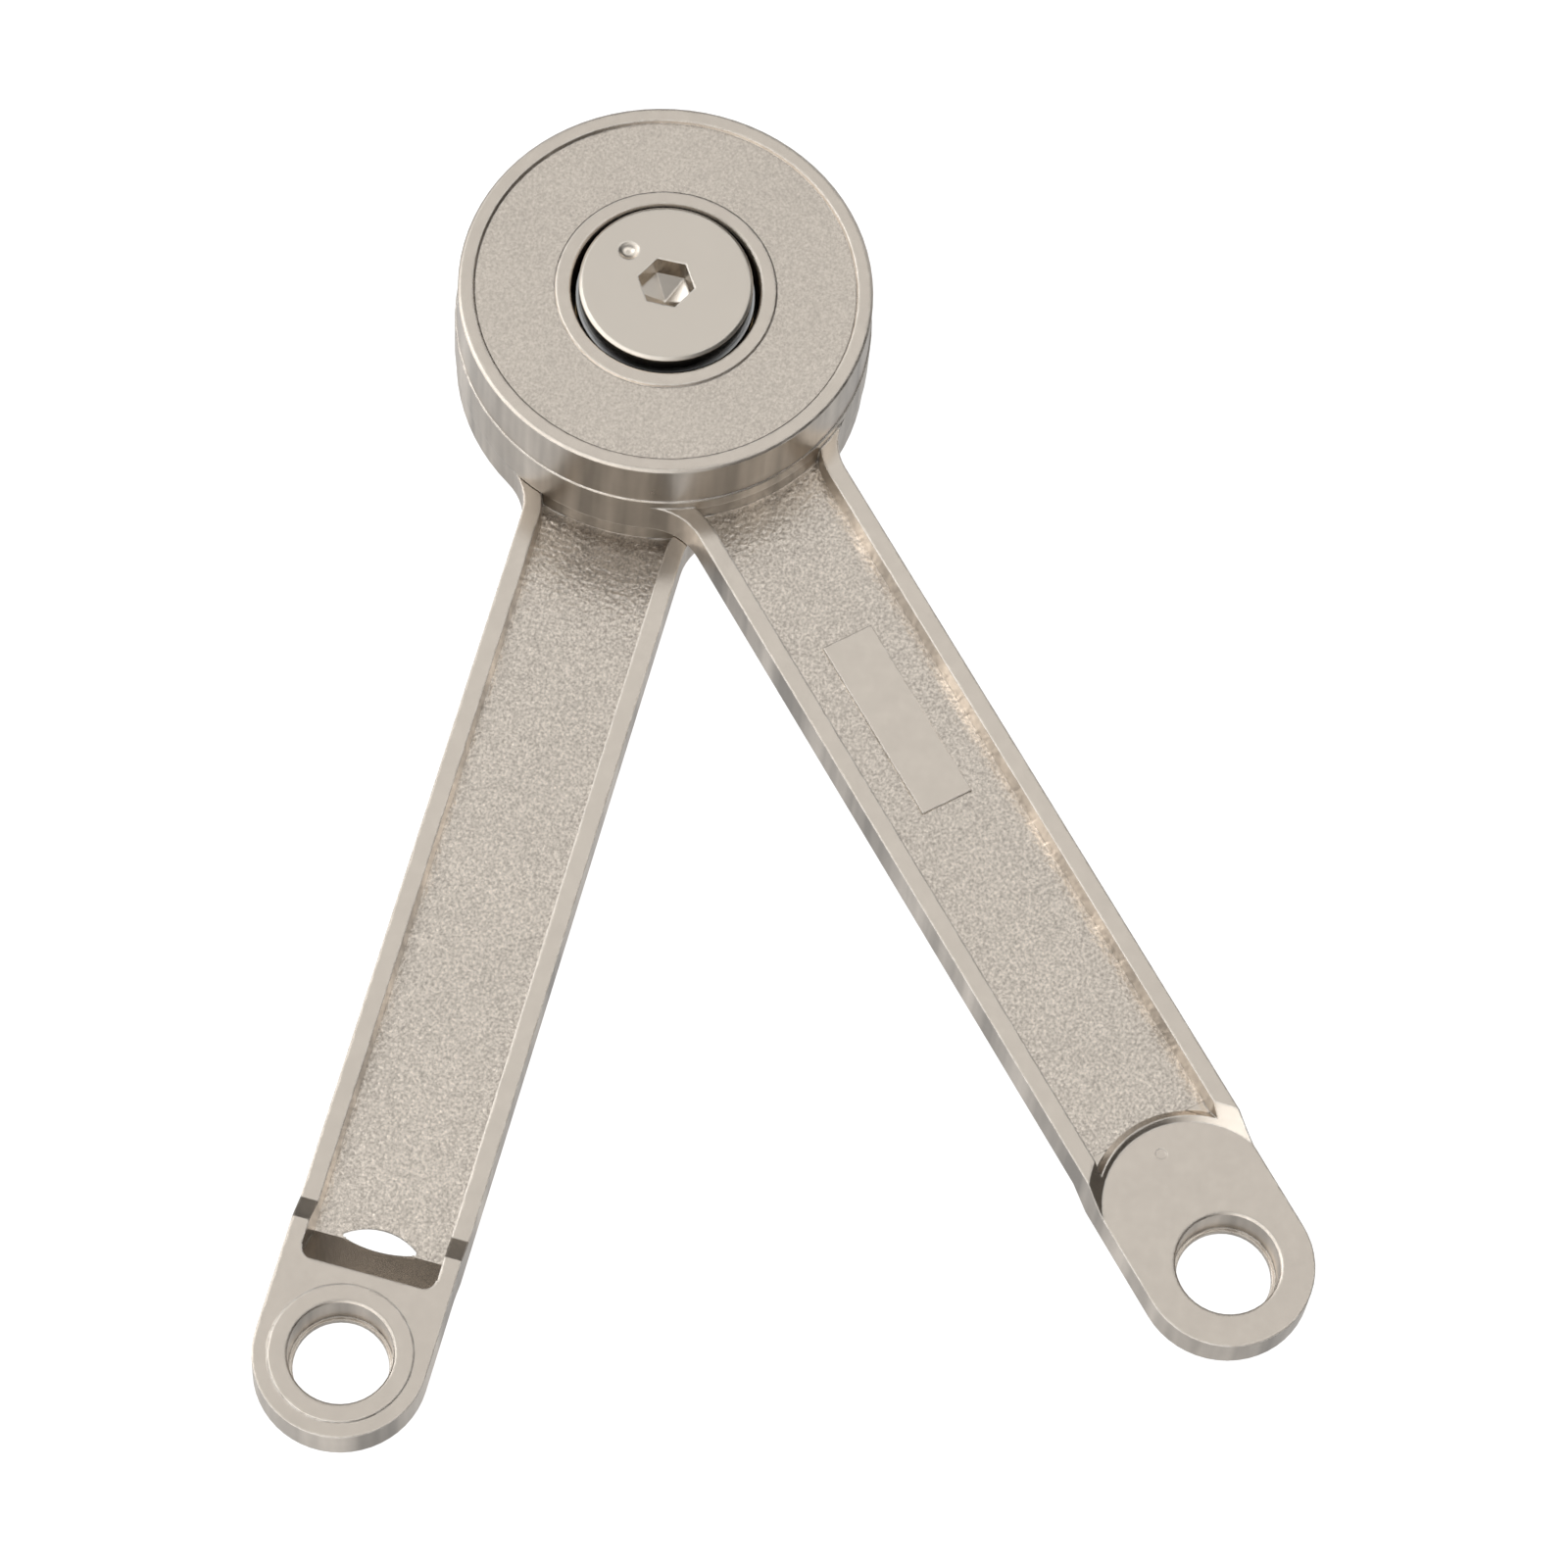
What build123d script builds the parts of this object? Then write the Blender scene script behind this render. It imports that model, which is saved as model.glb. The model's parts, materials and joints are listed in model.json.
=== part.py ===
from build123d import *
from math import asin, cos, degrees, radians, sin, tan
import os

# Friction stay hinge: two die-cast arms on one pivot, with an adjustable friction pack in the head.
# Origin: on the pivot axis, in the plane that the lower arm lies on.
# +X runs along the lower arm, +Z up the pivot axis to the adjuster. Millimetres throughout.

# Overall layout
pivot_to_eye = 113.6
arm_angle = 43.9
arm_thickness = 4.5
head_gap = 0.2

# Arm section
arm_width = 16.8
rail_width = 1.8
web_thickness = 2.1
wall_draft = 4.0
neck_fillet = 6.0
edge_round = 0.25
under_edge_round = 0.5
joint_overlap = 0.5

# Head casting
drum_radius = 21.1
lower_drum_setback = 0.2
rim_setback = 0.25
rim_foot_setback = 0.15
rim_ledge_height = 1.2
rim_ledge_chamfer = 0.1
rim_width = 1.5
rim_wall_lean = 0.2
boss_wall_lean = 0.15
face_recess = 0.45
boss_outer_radius = 11.05
adjuster_bore_radius = 9.5
boss_drop = 0.1
under_recess = 0.4
under_boss_radius = 12.0

# Eye ends
bore_radius = 5.05
bore_ledge_width = 0.45
bore_lip_round = 0.2
bore_ledge_thickness = 0.6
lower_eye_step_in = 1.75
upper_eye_step_in = 2.1
eye_step_out = 1.55
eye_ring_width = 1.85
eye_ring_height = 0.2
step_arc_margin = 0.5
step_arc_setback = 6.4
step_arc_flare = 1.5
ramp_start_back = 14.7
ramp_length = 2.7
pocket_ramp_top_back = 8.3
pocket_ramp_length = 4.3
pocket_corner = 1.2
bank_width = 1.3
bank_height = 1.05
bank_crest_setback = 0.3
mark_radius = 0.55
mark_depth = 0.05
mark_back = 12.7

# Lens-shaped opening through the lower arm's web
slot_half_width = 3.7
slot_head_back = 14.4
slot_eye_back = 11.9
slot_head_sag = 1.3
slot_eye_sag = 0.9

# Blank name pad on the upper arm's web
pad_length = 20.4
pad_width = 5.6
pad_centre = 48.75
pad_height = 0.25

# Friction pack
plate_thickness = 0.8
lining_thickness = 0.4
plate_pairs = 2
lining_inner_radius = 7.0
lining_margin = 2.3
keyed_plate_setback = 0.7
tab_reach = 1.6
tab_end_clearance = 0.2
keyway_wall = 0.55
tab_width = 5.0
tab_count = 4
first_keyway_angle = 45.0
pack_clearance = 0.4
tab_clearance = 0.1

# Head cavity
hub_setback = 3.0
web_of_hub = 1.6
roof_thickness = 1.85

# Pivot shaft
shaft_radius = 6.0
shaft_half_flat = 4.8
shaft_flange_radius = 9.8
shaft_flange_thickness = 1.6
shaft_end_clearance = 0.7
flange_clearance = 0.1
key_clearance = 0.03
bush_wall = 1.0
bush_clearance = 0.04

# Adjuster, its springs and their seat
thrust_washer_thickness = 0.5
spring_count = 4
spring_sheet = 0.3
spring_cone = 0.2
spring_inner_radius = 6.3
spring_outer_radius = 8.8
seat_thickness = 1.2
seat_outer_radius = 9.0
adjuster_radius = 8.75
adjuster_thickness = 2.6
adjuster_stand = 1.0
adjuster_chamfer = 0.3
adjuster_hollow_radius = 6.5
adjuster_hollow_depth = 1.0
thread_pitch_radius = 3.594
thread_clearance = 0.03
stem_length = 9.0
stem_chamfer = 0.5
stem_end_clearance = 1.5
hex_across_flats = 5.0
hex_depth = 2.9
hex_point_depth = 1.1
hex_point_share = 0.04
hex_turn = -27.0
dimple_radius = 1.05
dimple_depth = 0.45
dimple_centre = (-2.48, -4.59)
pellet_radius = 1.0
pellet_length = 1.5

# Base cap and stop pin
cap_thickness = 0.8
cap_radius = 10.0
pin_radius = 0.7
groove_outer_wall = 0.85
pin_angle = 180.0
pin_seat_depth = 2.2
pin_height = 1.7
groove_side_clearance = 0.15
groove_roof_clearance = 0.3
groove_end_angle = 0.3
fold_closed = -31.9
fold_open = 130.0

# Levels that follow from the sizes above
upper_base = arm_thickness + head_gap
upper_rail_top = upper_base + arm_thickness
ledge_level = upper_rail_top + rim_ledge_height
pack_height = 2 * plate_pairs * plate_thickness + (2 * plate_pairs + 1) * lining_thickness
hub_base = arm_thickness + pack_height
hub_top = hub_base + web_of_hub
washer_top = hub_top + thrust_washer_thickness
spring_height = spring_sheet + spring_cone
seat_base = washer_top + spring_count * spring_height
seat_top = seat_base + seat_thickness
adjuster_top = seat_top + adjuster_thickness
rim_top = adjuster_top - adjuster_stand
shaft_top = seat_top + adjuster_hollow_depth - shaft_end_clearance
flange_top = cap_thickness + flange_clearance + shaft_flange_thickness
lower_drum_radius = drum_radius - lower_drum_setback
rim_radius = drum_radius - rim_setback
rim_foot_radius = drum_radius - rim_foot_setback
pin_circle_radius = drum_radius - groove_outer_wall - groove_side_clearance - pin_radius
keyway_radius = pin_circle_radius - pin_radius - groove_side_clearance - keyway_wall
tabbed_plate_radius = keyway_radius - tab_end_clearance - tab_reach
keyed_plate_radius = tabbed_plate_radius - keyed_plate_setback
lining_outer_radius = keyed_plate_radius - lining_margin
cavity_radius = tabbed_plate_radius + pack_clearance
hub_radius = cavity_radius - hub_setback
bore_ledge_radius = bore_radius - bore_ledge_width
eye_ring_radius = bore_radius + eye_ring_width
roof_base = rim_top - face_recess - roof_thickness
bush_outer_radius = shaft_radius + bush_clearance + bush_wall
half_width = arm_width / 2
step_arc_radius = half_width + step_arc_margin
arc_centre = pivot_to_eye - step_arc_setback


def disc(radius, low, high):
    """Solid round of the given radius between two levels on the pivot axis."""
    return Pos(0, 0, low) * extrude(Circle(radius), high - low)


def ring(inner, outer, low, high):
    """Flat ring between two levels on the pivot axis."""
    return disc(outer, low, high) - disc(inner, low - 1, high + 1)


def block(x_low, x_high, y_low, y_high, z_low, z_high):
    """Box given by its limits."""
    corner = (Align.MIN, Align.MIN, Align.MIN)
    return Pos(x_low, y_low, z_low) * Box(x_high - x_low, y_high - y_low, z_high - z_low, align=corner)


def turned(points, centre=(0, 0)):
    """Solid turned about a vertical axis from (radius, height) points."""
    outline = Plane.XZ * make_face(Polyline(*points, close=True))
    return Pos(centre[0], centre[1], 0) * revolve(outline, Axis.Z)


def double_d(radius, half_flat):
    """Round section with two flats, as on the keyed part of the shaft."""
    return Circle(radius) & Rectangle(2 * radius + 2, 2 * half_flat)


def arm_outline(head_radius):
    """Head round, straight arm and round eye end, with the necks blended in."""
    length = Pos(pivot_to_eye / 2, 0) * Rectangle(pivot_to_eye, arm_width)
    outline = Circle(head_radius) + length
    necks = [v for v in outline.vertices() if 0 < v.X < head_radius + 1]
    outline = fillet(necks, neck_fillet)
    return outline + Pos(pivot_to_eye, 0) * Circle(half_width)


def pocket_outline(head_radius, wall):
    """Area between the rails: the outline drawn in by the wall, outside the drum."""
    inner = offset(arm_outline(head_radius), -wall, kind=Kind.INTERSECTION)
    return inner - Circle(head_radius)


def pocket(head_radius, base, high):
    """Cutter for the space between the rails, its walls leaning out with the casting's draft."""
    floor = base + web_thickness
    lean = (arm_thickness - web_thickness) * tan(radians(wall_draft))
    outline = pocket_outline(head_radius, rail_width + lean)
    return Pos(0, 0, floor) * extrude(outline, high - floor, taper=-wall_draft)


def plain_arm(head_radius, base):
    """The flat arm and head before anything is cut."""
    return Pos(0, 0, base) * extrude(arm_outline(head_radius), arm_thickness)


def side_prism(points, half_depth=half_width + 2):
    """Solid of an (x, z) outline that runs across the whole arm."""
    outline = Plane.XZ * make_face(Polyline(*points, close=True))
    return extrude(outline, half_depth, both=True)


def eye_joggle(face, direction):
    """Material that carries the eye past the arm's face, with a ramp leading up to it."""
    start = pivot_to_eye - ramp_start_back
    rise = direction * eye_step_out
    points = [(start, face), (start + ramp_length, face + rise)]
    points += [(pivot_to_eye + half_width + 1, face + rise), (pivot_to_eye + half_width + 1, face)]
    low = min(face, face + rise)
    body = Pos(0, 0, low) * extrude(arm_outline(drum_radius), eye_step_out)
    return body & side_prism(points)


def eye_step(face, direction, depth):
    """Cutter that lowers the other side of the eye, ended by a flared arc across the rails."""
    floor = face - direction * depth
    beyond = face + direction
    flare_beyond = step_arc_flare * (1 + 1 / depth)
    cone = [(0, floor), (step_arc_radius, floor)]
    cone += [(step_arc_radius + flare_beyond, beyond), (0, beyond)]
    x_end = pivot_to_eye + half_width + 1
    low, high = sorted((floor, beyond))
    rest = block(arc_centre, x_end, -half_width - 2, half_width + 2, low, high)
    return turned(cone, (arc_centre, 0)) + rest


def eye_ring(face, direction):
    """Low round land about the eye's bore."""
    low, high = sorted((face - direction * joint_overlap, face + direction * eye_ring_height))
    return Pos(pivot_to_eye, 0, low) * extrude(Circle(eye_ring_radius), high - low)


def eye_bore(low, high):
    """Cutter for the bore, with the thin ledge left at its lower end."""
    ledge = low + bore_ledge_thickness
    points = [(0, low - 1), (bore_ledge_radius, low - 1), (bore_ledge_radius, ledge)]
    points += [(bore_radius, ledge), (bore_radius, high - bore_lip_round)]
    points += [(bore_radius + bore_lip_round, high), (bore_radius + bore_lip_round, high + 1), (0, high + 1)]
    return turned(points, (pivot_to_eye, 0))


def soften_rim(part, level, radius):
    """Rounds the outer edges that lie in one level."""
    edges = part.edges().filter_by_position(Axis.Z, level - 0.01, level + 0.01)
    outer = [e for e in edges if e.length > 3 and is_outer(e)]
    return fillet(outer, radius)


def is_outer(edge):
    """True for an edge on the arm's outside: the drum, the necks, the flanks or the eye's end."""
    middle = edge @ 0.5
    from_axis = (middle.X ** 2 + middle.Y ** 2) ** 0.5
    from_eye = ((middle.X - pivot_to_eye) ** 2 + middle.Y ** 2) ** 0.5
    on_drum = abs(from_axis - lower_drum_radius) < 0.05
    on_eye = abs(from_eye - half_width) < 0.05 and middle.X > pivot_to_eye
    on_flank = abs(abs(middle.Y) - half_width) < 0.05
    on_neck = half_width < abs(middle.Y) and lower_drum_radius < from_axis < lower_drum_radius + neck_fillet
    return on_drum or on_eye or on_flank or on_neck


def web_slot():
    """Lens-shaped cutter through the web, just before the lower arm's eye."""
    head_x = pivot_to_eye - slot_head_back
    eye_x = pivot_to_eye - slot_eye_back
    head_end = head_x + slot_head_sag
    eye_end = eye_x - slot_eye_sag
    w = slot_half_width
    head_side = ThreePointArc((head_end, -w), (head_x, 0), (head_end, w))
    eye_side = ThreePointArc((eye_end, w), (eye_x, 0), (eye_end, -w))
    sides = [Line((head_end, w), (eye_end, w)), Line((eye_end, -w), (head_end, -w))]
    lens = make_face([head_side, sides[0], eye_side, sides[1]])
    return Pos(0, 0, -1) * extrude(lens, arm_thickness + 2)


def lower_pocket():
    """Cutter for the lower arm's pocket, ended by a slope up to the eye with rounded corners."""
    top = pivot_to_eye - pocket_ramp_top_back
    foot = top - pocket_ramp_length
    crown = arm_thickness + eye_step_out
    beyond = pivot_to_eye + arm_width
    under_foot = foot - web_thickness * pocket_ramp_length / (crown - web_thickness)
    slope = side_prism([(under_foot, 0), (top, crown), (top, crown + 2), (beyond, crown + 2), (beyond, 0)])
    cutter = pocket(lower_drum_radius, 0, crown + 1) - slope
    for side in (-1, 1):
        cutter -= pocket_corner_post(top, side * (half_width - rail_width), side, crown + 2)
    return cutter


def pocket_corner_post(x_end, y_wall, side, high):
    """Upright filler that leaves a rounded corner where the pocket's end meets a rail."""
    centre = Pos(x_end - pocket_corner, y_wall - side * pocket_corner)
    size = pocket_corner + 2
    post = centre * Pos(size / 2, side * size / 2) * Rectangle(size, size) - centre * Circle(pocket_corner)
    return extrude(post, high)


def upper_pocket_end():
    """Material that stays in the upper arm's pocket: a low bank along the eye's arc."""
    floor = upper_base + web_thickness
    crest = floor + bank_height
    outer = step_arc_radius + bank_width
    inner = step_arc_radius + bank_crest_setback
    bank = turned([(0, upper_base), (outer, upper_base), (outer, floor), (inner, crest), (0, crest)],
                  (arc_centre, 0))
    return bank + block(arc_centre, pivot_to_eye + arm_width, -half_width, half_width, upper_base, crest)


def make_lower_arm():
    """Lower casting: flat head with the shaft's seat, channel arm, eye carried upwards."""
    crown = arm_thickness + eye_step_out
    body = plain_arm(lower_drum_radius, 0) + eye_joggle(arm_thickness, 1)
    body = body - lower_pocket()
    body = body + eye_ring(crown, 1)
    body = body - eye_step(0, -1, lower_eye_step_in)
    body = body - web_slot()
    body = body - eye_bore(lower_eye_step_in, crown + eye_ring_height)
    body = soften_rim(body, 0, under_edge_round)
    body = body - ring(under_boss_radius, rim_radius - rim_width, -1, under_recess)
    body = body - disc(cap_radius, -1, flange_top)
    body = body - extrude(double_d(shaft_radius + key_clearance, shaft_half_flat + key_clearance),
                          arm_thickness + 1)
    pin_seat = Pos(0, 0, arm_thickness - pin_seat_depth) * extrude(Circle(pin_radius), pin_seat_depth + 1)
    return body - Rot(0, 0, pin_angle) * Pos(pin_circle_radius, 0, 0) * pin_seat


def drum_top():
    """Outside of the upper head above the rails, with the small ledge part-way up."""
    low = upper_rail_top - joint_overlap
    points = [(0, low), (drum_radius, low), (drum_radius, ledge_level - rim_ledge_chamfer)]
    points += [(drum_radius - rim_ledge_chamfer, ledge_level), (rim_foot_radius, ledge_level)]
    points += [(rim_radius, rim_top - edge_round), (rim_radius - edge_round, rim_top), (0, rim_top)]
    return turned(points)


def face_dish():
    """Cutter for the sunken ring in the head's face and for the adjuster's bore."""
    floor = rim_top - face_recess
    boss = rim_top - boss_drop
    rim_inner = rim_radius - rim_width
    above = rim_top + 1
    dish = [(boss_outer_radius + boss_wall_lean, floor), (rim_inner - rim_wall_lean, floor)]
    dish += [(rim_inner, rim_top), (rim_inner, above)]
    dish += [(0, above), (0, boss), (boss_outer_radius, boss)]
    bore = [(0, hub_top), (adjuster_bore_radius, hub_top), (adjuster_bore_radius, boss - edge_round)]
    bore_mouth = adjuster_bore_radius + edge_round
    bore += [(bore_mouth, boss), (bore_mouth, above), (0, above)]
    return turned(dish) + turned(bore)


def head_cavity():
    """Cutter for the friction pack's room, its keyways and the bush's bore, open at the bottom."""
    room = disc(cavity_radius, upper_base - 1, hub_base)
    room += ring(hub_radius, cavity_radius, hub_base - 1, roof_base)
    slot = block(0, keyway_radius, -tab_width / 2 - tab_clearance, tab_width / 2 + tab_clearance,
                 upper_base - 1, hub_base)
    slot = slot & disc(keyway_radius, upper_base - 1, hub_base)
    for index in range(tab_count):
        room += Rot(0, 0, keyway_angle(index)) * slot
    return room + disc(bush_outer_radius, upper_base, hub_top + 1)


def keyway_angle(index):
    """Place of a keyway about the pivot, counted from the upper arm."""
    return first_keyway_angle + index * 360 / tab_count


def stop_groove():
    """Cutter for the arc that the stop pin travels in, measured from the upper arm at rest."""
    half = pin_radius + groove_side_clearance
    pin_half_angle = degrees(asin(pin_radius / pin_circle_radius)) + groove_end_angle
    first = pin_angle - arm_angle - fold_open - pin_half_angle
    last = pin_angle - arm_angle - fold_closed + pin_half_angle
    roof = arm_thickness + pin_height + groove_roof_clearance
    band = Circle(pin_circle_radius + half) - Circle(pin_circle_radius - half)
    reach = 3 * drum_radius
    steps = 6
    fan = [(0, 0)]
    for step in range(steps + 1):
        angle = radians(first + (last - first) * step / steps)
        fan.append((reach * cos(angle), reach * sin(angle)))
    sector = make_face(Polyline(*fan, close=True))
    return Pos(0, 0, upper_base - 1) * extrude(band & sector, roof - upper_base + 1)


def name_pad():
    """Blank raised pad on the upper arm's web."""
    floor = upper_base + web_thickness
    pad = Rectangle(pad_length, pad_width)
    return Pos(pad_centre, 0, floor - joint_overlap) * extrude(pad, pad_height + joint_overlap)


def ejector_mark(face):
    """Cutter for the faint round left by an ejector pin in the flat beside the eye."""
    return Pos(pivot_to_eye - mark_back, 0, face - mark_depth) * extrude(Circle(mark_radius), 1)


def make_upper_arm():
    """Upper casting: drum head with the pack's room, channel arm, eye carried downwards."""
    eye_top = upper_rail_top - upper_eye_step_in
    eye_low = upper_base - eye_step_out
    body = plain_arm(drum_radius, upper_base) + eye_joggle(upper_base, -1)
    body = body - (pocket(drum_radius, upper_base, upper_rail_top + 1) - upper_pocket_end())
    body = body - eye_step(upper_rail_top, 1, upper_eye_step_in)
    body = body + eye_ring(eye_low, -1)
    body = body + name_pad()
    body = body - eye_bore(eye_low - eye_ring_height, eye_top) - ejector_mark(eye_top)
    body = body + drum_top()
    body = body - face_dish() - head_cavity() - stop_groove()
    return Rot(0, 0, arm_angle) * body


def make_shaft():
    """Keyed shaft: flange below the lower arm, double-D body, threaded bore from the top."""
    key = extrude(double_d(shaft_radius, shaft_half_flat), shaft_top - flange_top + shaft_flange_thickness)
    body = Pos(0, 0, flange_top - shaft_flange_thickness) * key
    body += disc(shaft_flange_radius, flange_top - shaft_flange_thickness, flange_top)
    bore_low = seat_top - stem_length - stem_end_clearance
    return body - disc(thread_pitch_radius + thread_clearance, bore_low, shaft_top + 1)


def keyed_plate(low):
    """Steel plate that turns with the shaft."""
    hole = double_d(shaft_radius + key_clearance, shaft_half_flat + key_clearance)
    return Pos(0, 0, low) * extrude(Circle(keyed_plate_radius) - hole, plate_thickness)


def tabbed_plate(low):
    """Steel plate that turns with the upper arm, by tabs in the drum's keyways."""
    outline = Circle(tabbed_plate_radius)
    reach = tabbed_plate_radius + tab_reach
    tab = Pos(reach / 2, 0) * Rectangle(reach, tab_width)
    for index in range(tab_count):
        outline += Rot(0, 0, keyway_angle(index) + arm_angle) * tab
    outline = outline & Circle(reach)
    outline = outline - Circle(shaft_radius + pack_clearance)
    return Pos(0, 0, low) * extrude(outline, plate_thickness)


def disc_spring(low, cone_up):
    """Conical spring washer; cone_up puts its inner edge at the top."""
    inner, outer = spring_inner_radius, spring_outer_radius
    rise_in = spring_cone if cone_up else 0
    rise_out = 0 if cone_up else spring_cone
    points = [(inner, low + rise_in), (outer, low + rise_out)]
    points += [(outer, low + rise_out + spring_sheet), (inner, low + rise_in + spring_sheet)]
    return turned(points)


def make_seat():
    """Washer between the springs and the adjuster, keyed to the shaft so that it only slides."""
    hole = double_d(shaft_radius + key_clearance, shaft_half_flat + key_clearance)
    return Pos(0, 0, seat_base) * extrude(Circle(seat_outer_radius) - hole, seat_thickness)


def hex_socket():
    """Cutter for the key socket and its six-sided drill point."""
    low = adjuster_top - hex_depth
    circumradius = hex_across_flats / 2 / cos(radians(30))
    wall = Pos(0, 0, low) * extrude(RegularPolygon(circumradius, 6), hex_depth + 1)
    tip = Pos(0, 0, low - hex_point_depth) * RegularPolygon(circumradius * hex_point_share, 6)
    mouth = Pos(0, 0, low) * RegularPolygon(circumradius, 6)
    return Rot(0, 0, hex_turn) * (wall + loft([tip, mouth]))


def make_adjuster():
    """Pressure disc with its threaded stem, key socket and one index dimple."""
    stem_low = seat_top - stem_length
    points = [(0, stem_low), (thread_pitch_radius - stem_chamfer, stem_low)]
    points += [(thread_pitch_radius, stem_low + stem_chamfer)]
    points += [(thread_pitch_radius, seat_top + adjuster_hollow_depth)]
    points += [(adjuster_hollow_radius, seat_top + adjuster_hollow_depth), (adjuster_hollow_radius, seat_top)]
    points += [(adjuster_radius, seat_top), (adjuster_radius, adjuster_top - adjuster_chamfer)]
    points += [(adjuster_radius - adjuster_chamfer, adjuster_top), (0, adjuster_top)]
    ball = (dimple_radius ** 2 + dimple_depth ** 2) / (2 * dimple_depth)
    dimple = Pos(*dimple_centre, adjuster_top + ball - dimple_depth) * Sphere(ball)
    return turned(points) - hex_socket() - dimple - pellet_room()


def pellet_room():
    """Space of the nylon pellet in the side of the stem."""
    level = seat_top - stem_length / 2
    pellet = Pos(thread_pitch_radius - pellet_length, 0, level) * Rot(0, 90, 0) * Cylinder(
        pellet_radius, 2 * pellet_length, align=(Align.CENTER, Align.CENTER, Align.MIN))
    return pellet & disc(thread_pitch_radius, level - 2 * pellet_radius, level + 2 * pellet_radius)


def make_stop_pin():
    """Pin pressed into the lower arm that runs in the upper arm's groove."""
    low = arm_thickness - pin_seat_depth
    pin = Pos(0, 0, low) * extrude(Circle(pin_radius), pin_seat_depth + pin_height)
    return Rot(0, 0, pin_angle) * Pos(pin_circle_radius, 0, 0) * pin


def make_parts():
    """Every piece in its place, by node name."""
    pieces = {"lower_arm": make_lower_arm(), "upper_arm": make_upper_arm(), "pivot_shaft": make_shaft()}
    pieces["base_cap"] = disc(cap_radius, 0, cap_thickness)
    pieces["stop_pin"] = make_stop_pin()
    level = arm_thickness
    for number in range(1, plate_pairs + 1):
        pieces[f"friction_lining_{2 * number - 1}"] = lining(level)
        level += lining_thickness
        pieces[f"tabbed_plate_{number}"] = tabbed_plate(level)
        level += plate_thickness
        pieces[f"friction_lining_{2 * number}"] = lining(level)
        level += lining_thickness
        pieces[f"keyed_plate_{number}"] = keyed_plate(level)
        level += plate_thickness
    pieces[f"friction_lining_{2 * plate_pairs + 1}"] = lining(level)
    pieces["pivot_bush"] = ring(shaft_radius + bush_clearance, bush_outer_radius, hub_base, hub_top)
    pieces["thrust_washer"] = ring(spring_inner_radius, seat_outer_radius, hub_top, washer_top)
    for number in range(1, spring_count + 1):
        low = washer_top + (number - 1) * spring_height
        pieces[f"disc_spring_{number}"] = disc_spring(low, number % 2 == 1)
    pieces["spring_seat"] = make_seat()
    pieces["adjuster_disc"] = make_adjuster()
    pieces["lock_pellet"] = pellet_room()
    return pieces


def lining(low):
    """Friction ring between two plates."""
    return ring(lining_inner_radius, lining_outer_radius, low, low + lining_thickness)


os.makedirs("parts", exist_ok=True)
for node, piece in make_parts().items():
    export_step(piece, f"parts/{node}.step")
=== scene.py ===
import json
from math import cos, pi, radians, sin

import bpy
from mathutils import Matrix, Vector, noise


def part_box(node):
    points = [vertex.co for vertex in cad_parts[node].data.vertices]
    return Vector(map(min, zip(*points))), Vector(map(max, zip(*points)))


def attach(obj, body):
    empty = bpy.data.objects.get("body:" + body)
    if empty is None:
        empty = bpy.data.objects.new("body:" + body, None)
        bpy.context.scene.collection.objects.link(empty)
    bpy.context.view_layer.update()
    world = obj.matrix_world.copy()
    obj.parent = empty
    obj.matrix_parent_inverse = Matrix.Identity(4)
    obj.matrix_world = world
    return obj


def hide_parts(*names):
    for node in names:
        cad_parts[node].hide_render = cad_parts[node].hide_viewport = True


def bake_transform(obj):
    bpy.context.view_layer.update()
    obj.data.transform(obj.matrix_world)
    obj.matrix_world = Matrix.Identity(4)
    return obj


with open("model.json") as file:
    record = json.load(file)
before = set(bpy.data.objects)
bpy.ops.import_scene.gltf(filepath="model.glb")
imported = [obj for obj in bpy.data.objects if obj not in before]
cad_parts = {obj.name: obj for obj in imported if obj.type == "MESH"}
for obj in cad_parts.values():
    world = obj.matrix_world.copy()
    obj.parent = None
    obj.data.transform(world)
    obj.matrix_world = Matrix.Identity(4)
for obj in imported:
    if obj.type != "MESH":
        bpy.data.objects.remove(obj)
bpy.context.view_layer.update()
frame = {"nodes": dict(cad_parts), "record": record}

# Sizes are in metres, in one frame: pivot axis at x = y = 0, underside at z = 0.
MM = 0.001
NODES = frame["nodes"]

# Camera
LENS = 146.57
CAMERA_PLACE = Vector((305.3, 64.7, 577.6)) * MM
CAMERA_TARGET = Vector((49.52, 25.60, 16.6)) * MM
CAMERA_ROLL = radians(-7.01)

# Arms, as the castings have them
ARM_ANGLE = radians(43.9)
ARM_THICKNESS = 4.5 * MM
HEAD_GAP = 0.2 * MM
WEB_THICKNESS = 2.1 * MM
ARM_HALF_WIDTH = 8.4 * MM
RAIL_WIDTH = 1.8 * MM
PIVOT_TO_EYE = 113.6 * MM
UPPER_BASE = ARM_THICKNESS + HEAD_GAP
DRUM_RADIUS = 21.1 * MM
FACE_INNER_RADIUS = 11.25 * MM
FACE_OUTER_RADIUS = 19.1 * MM
FACE_DEPTH = 0.45 * MM
SLOT_HALF_WIDTH = 3.7 * MM
SLOT_HEAD = PIVOT_TO_EYE - 14.4 * MM
SLOT_EYE = PIVOT_TO_EYE - 11.9 * MM
SLOT_HEAD_SAG = 1.3 * MM
SLOT_EYE_SAG = 0.9 * MM
RIM_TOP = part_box("upper_arm")[1].z

# Painted shade in the gap round the adjuster: its radii, how softly each ends, and its depths below the rim
GAP_INNER_RADIUS = 8.55 * MM
GAP_OUTER_RADIUS = 9.55 * MM
GAP_INNER_FADE = 0.15 * MM
GAP_OUTER_FADE = 0.1 * MM
GAP_FULL_DEPTH = 1.1 * MM
GAP_CLEAR_DEPTH = 0.25 * MM

# How much slower upright brushing varies along its length than across it
STREAK_STRETCH = 0.06


# ---------------------------------------------------------------- shader node groups

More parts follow.
